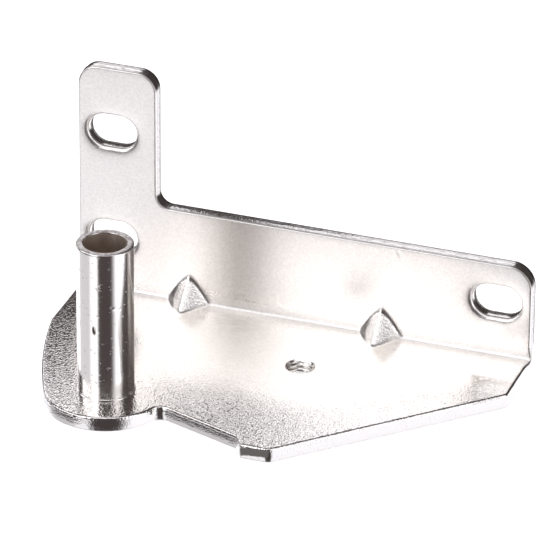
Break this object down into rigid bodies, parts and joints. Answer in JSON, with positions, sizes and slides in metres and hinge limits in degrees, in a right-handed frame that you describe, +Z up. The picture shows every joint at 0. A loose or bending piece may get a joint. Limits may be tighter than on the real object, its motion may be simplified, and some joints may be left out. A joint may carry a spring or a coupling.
{
  "type": "fridge door hinge",
  "caption": "Folded and plated steel bracket with oval screw slots, a tapped hole and a hollow pin that a fridge door turns on.",
  "frame": {"origin": "on the flange's back face, at the height of the two lower screw slots and level with the pin's axis", "axes": "+X along the fold towards the flange's far end, +Y out of the flange's back face into the cabinet, +Z up the pin"},
  "size_m": [0.1011, 0.0578, 0.0555],
  "materials": {
    "plated_sheet": "bright plating over grained sheet",
    "plated_tube": "bright smooth plating"
  },
  "bodies": {
    "root": {"bracket": "plated_sheet", "hinge_pin": "plated_tube"}
  },
  "joints": []
}
